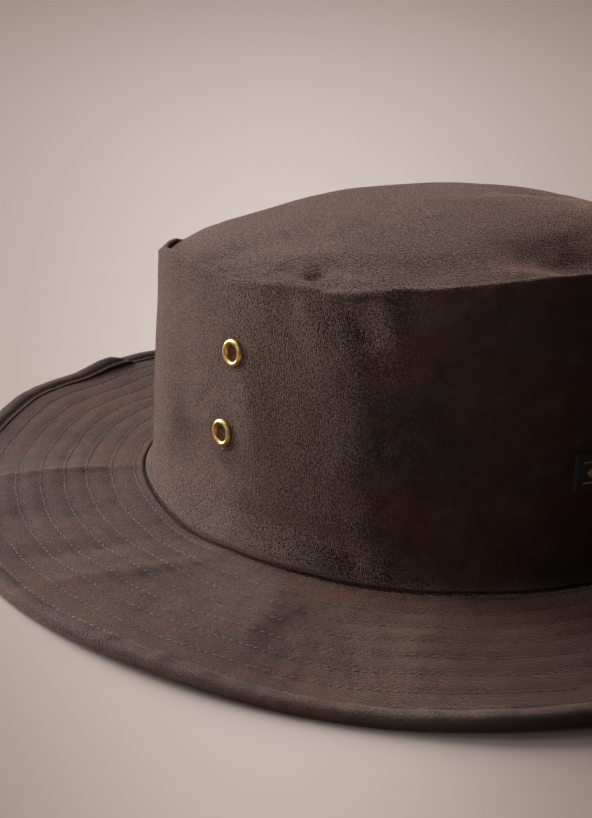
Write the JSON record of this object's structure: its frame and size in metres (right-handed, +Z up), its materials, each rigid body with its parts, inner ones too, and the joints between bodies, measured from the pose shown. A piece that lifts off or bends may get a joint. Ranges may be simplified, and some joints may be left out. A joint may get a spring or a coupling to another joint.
{
  "type": "bush hat",
  "caption": "Waxed cotton bush hat with a domed oval crown, a wide quilted brim with a bound edge, brass side eyelets and a small front label.",
  "frame": {"origin": "on the surface that the brim rests on, below the middle of the hat", "axes": "+Z up, -Y towards the front of the hat, +X towards the wearer's left"},
  "size_m": [0.3144, 0.3464, 0.1156],
  "materials": {
    "crown_cloth": "waxed",
    "brim_cloth": "waxed",
    "binding_cloth": "waxed",
    "label_cloth": "woven",
    "eyelet_brass": "polished"
  },
  "bodies": {
    "root": {"crown_wall": "crown_cloth", "crown_tip": "crown_cloth", "brim": "brim_cloth", "brim_binding": "binding_cloth", "label": "label_cloth", "eyelet_right_upper": "eyelet_brass", "eyelet_right_lower": "eyelet_brass", "eyelet_left_upper": "eyelet_brass", "eyelet_left_lower": "eyelet_brass"}
  },
  "joints": []
}
